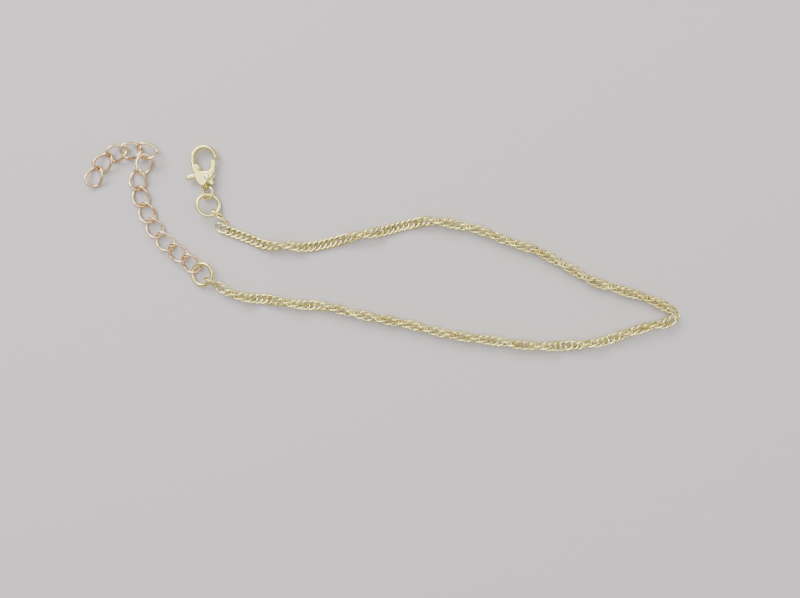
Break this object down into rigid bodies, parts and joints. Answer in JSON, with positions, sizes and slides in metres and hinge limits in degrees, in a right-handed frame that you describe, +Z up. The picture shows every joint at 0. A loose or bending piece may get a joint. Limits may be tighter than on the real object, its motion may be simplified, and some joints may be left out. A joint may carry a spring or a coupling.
{
  "type": "chain anklet",
  "caption": "Chain anklet lying unfastened: a twisted curb chain with a sprung lobster clasp on a jump ring at one end and an extender of larger curb links at the other.",
  "frame": {"origin": "on the surface that the anklet lies on, under the middle of its box", "axes": "+X from the clasp and extender ends towards the chain's far bend, +Y towards the clasp's hook, +Z up"},
  "size_m": [0.1307, 0.0463, 0.0034],
  "materials": {
    "pale_gold": "pale gold plating, bright",
    "warm_gold": "warmer rose-gold plating, bright"
  },
  "bodies": {
    "anklet": {"clasp_body": "pale_gold", "clasp_pin": "pale_gold", "clasp_ring": "pale_gold", "chain_link_01": "pale_gold", "chain_link_02": "pale_gold", "main_chain": "pale_gold", "chain_link_03": "pale_gold", "extender_ring": "pale_gold", "extender_link_01": "warm_gold", "extender_link_02": "warm_gold", "extender_link_03": "warm_gold", "extender_link_04": "warm_gold", "extender_link_05": "warm_gold", "extender_link_06": "warm_gold", "extender_link_07": "warm_gold", "extender_link_08": "warm_gold", "extender_link_09": "warm_gold", "extender_link_10": "warm_gold", "extender_link_11": "warm_gold", "extender_link_12": "warm_gold", "extender_link_13": "warm_gold"},
    "lever": {"clasp_lever": "pale_gold"}
  },
  "joints": [
    {"name": "clasp_lever_hinge", "type": "hinge", "parent": "anklet", "child": "lever", "pos_m": [-0.03836, 0.01558, 0.0012], "axis": [0, 0, 1], "range_deg": [0, 25], "stiffness_Nm_per_rad": 0.004, "springref_deg": -17.19}
  ]
}
